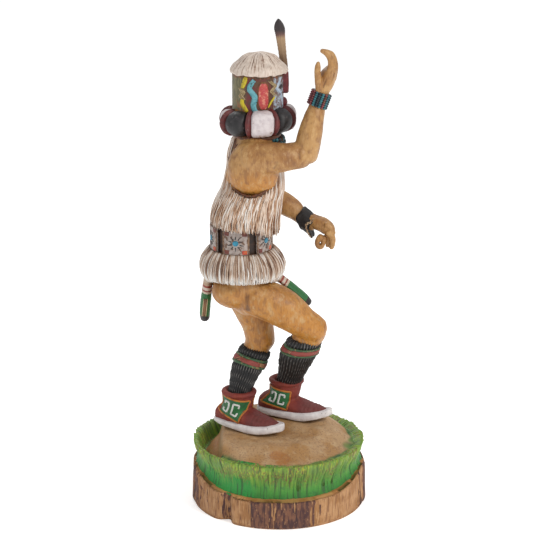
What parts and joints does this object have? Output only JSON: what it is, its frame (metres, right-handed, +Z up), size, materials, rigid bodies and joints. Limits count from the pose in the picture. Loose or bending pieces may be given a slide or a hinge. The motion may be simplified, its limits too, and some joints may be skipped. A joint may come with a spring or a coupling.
{
  "type": "kachina doll",
  "caption": "Carved dancer in a cylindrical mask, stepping with one hand raised, on a turf-ringed mound above a log slice, to stand on a shelf.",
  "frame": {"origin": "middle of the underside of the log slice", "axes": "+Z up, the dancer faces -Y, the dancer's left hand is on the +X side"},
  "size_m": [0.127, 0.127, 0.3446],
  "materials": {
    "skin": "stained and lightly polished carved root wood",
    "bark": "raw log slice with patches of dark bark and painted turf",
    "plume": "painted carved feather with a dark tip"
  },
  "bodies": {
    "root": {"figure": "skin", "base": "bark", "feather": "plume"}
  },
  "joints": []
}
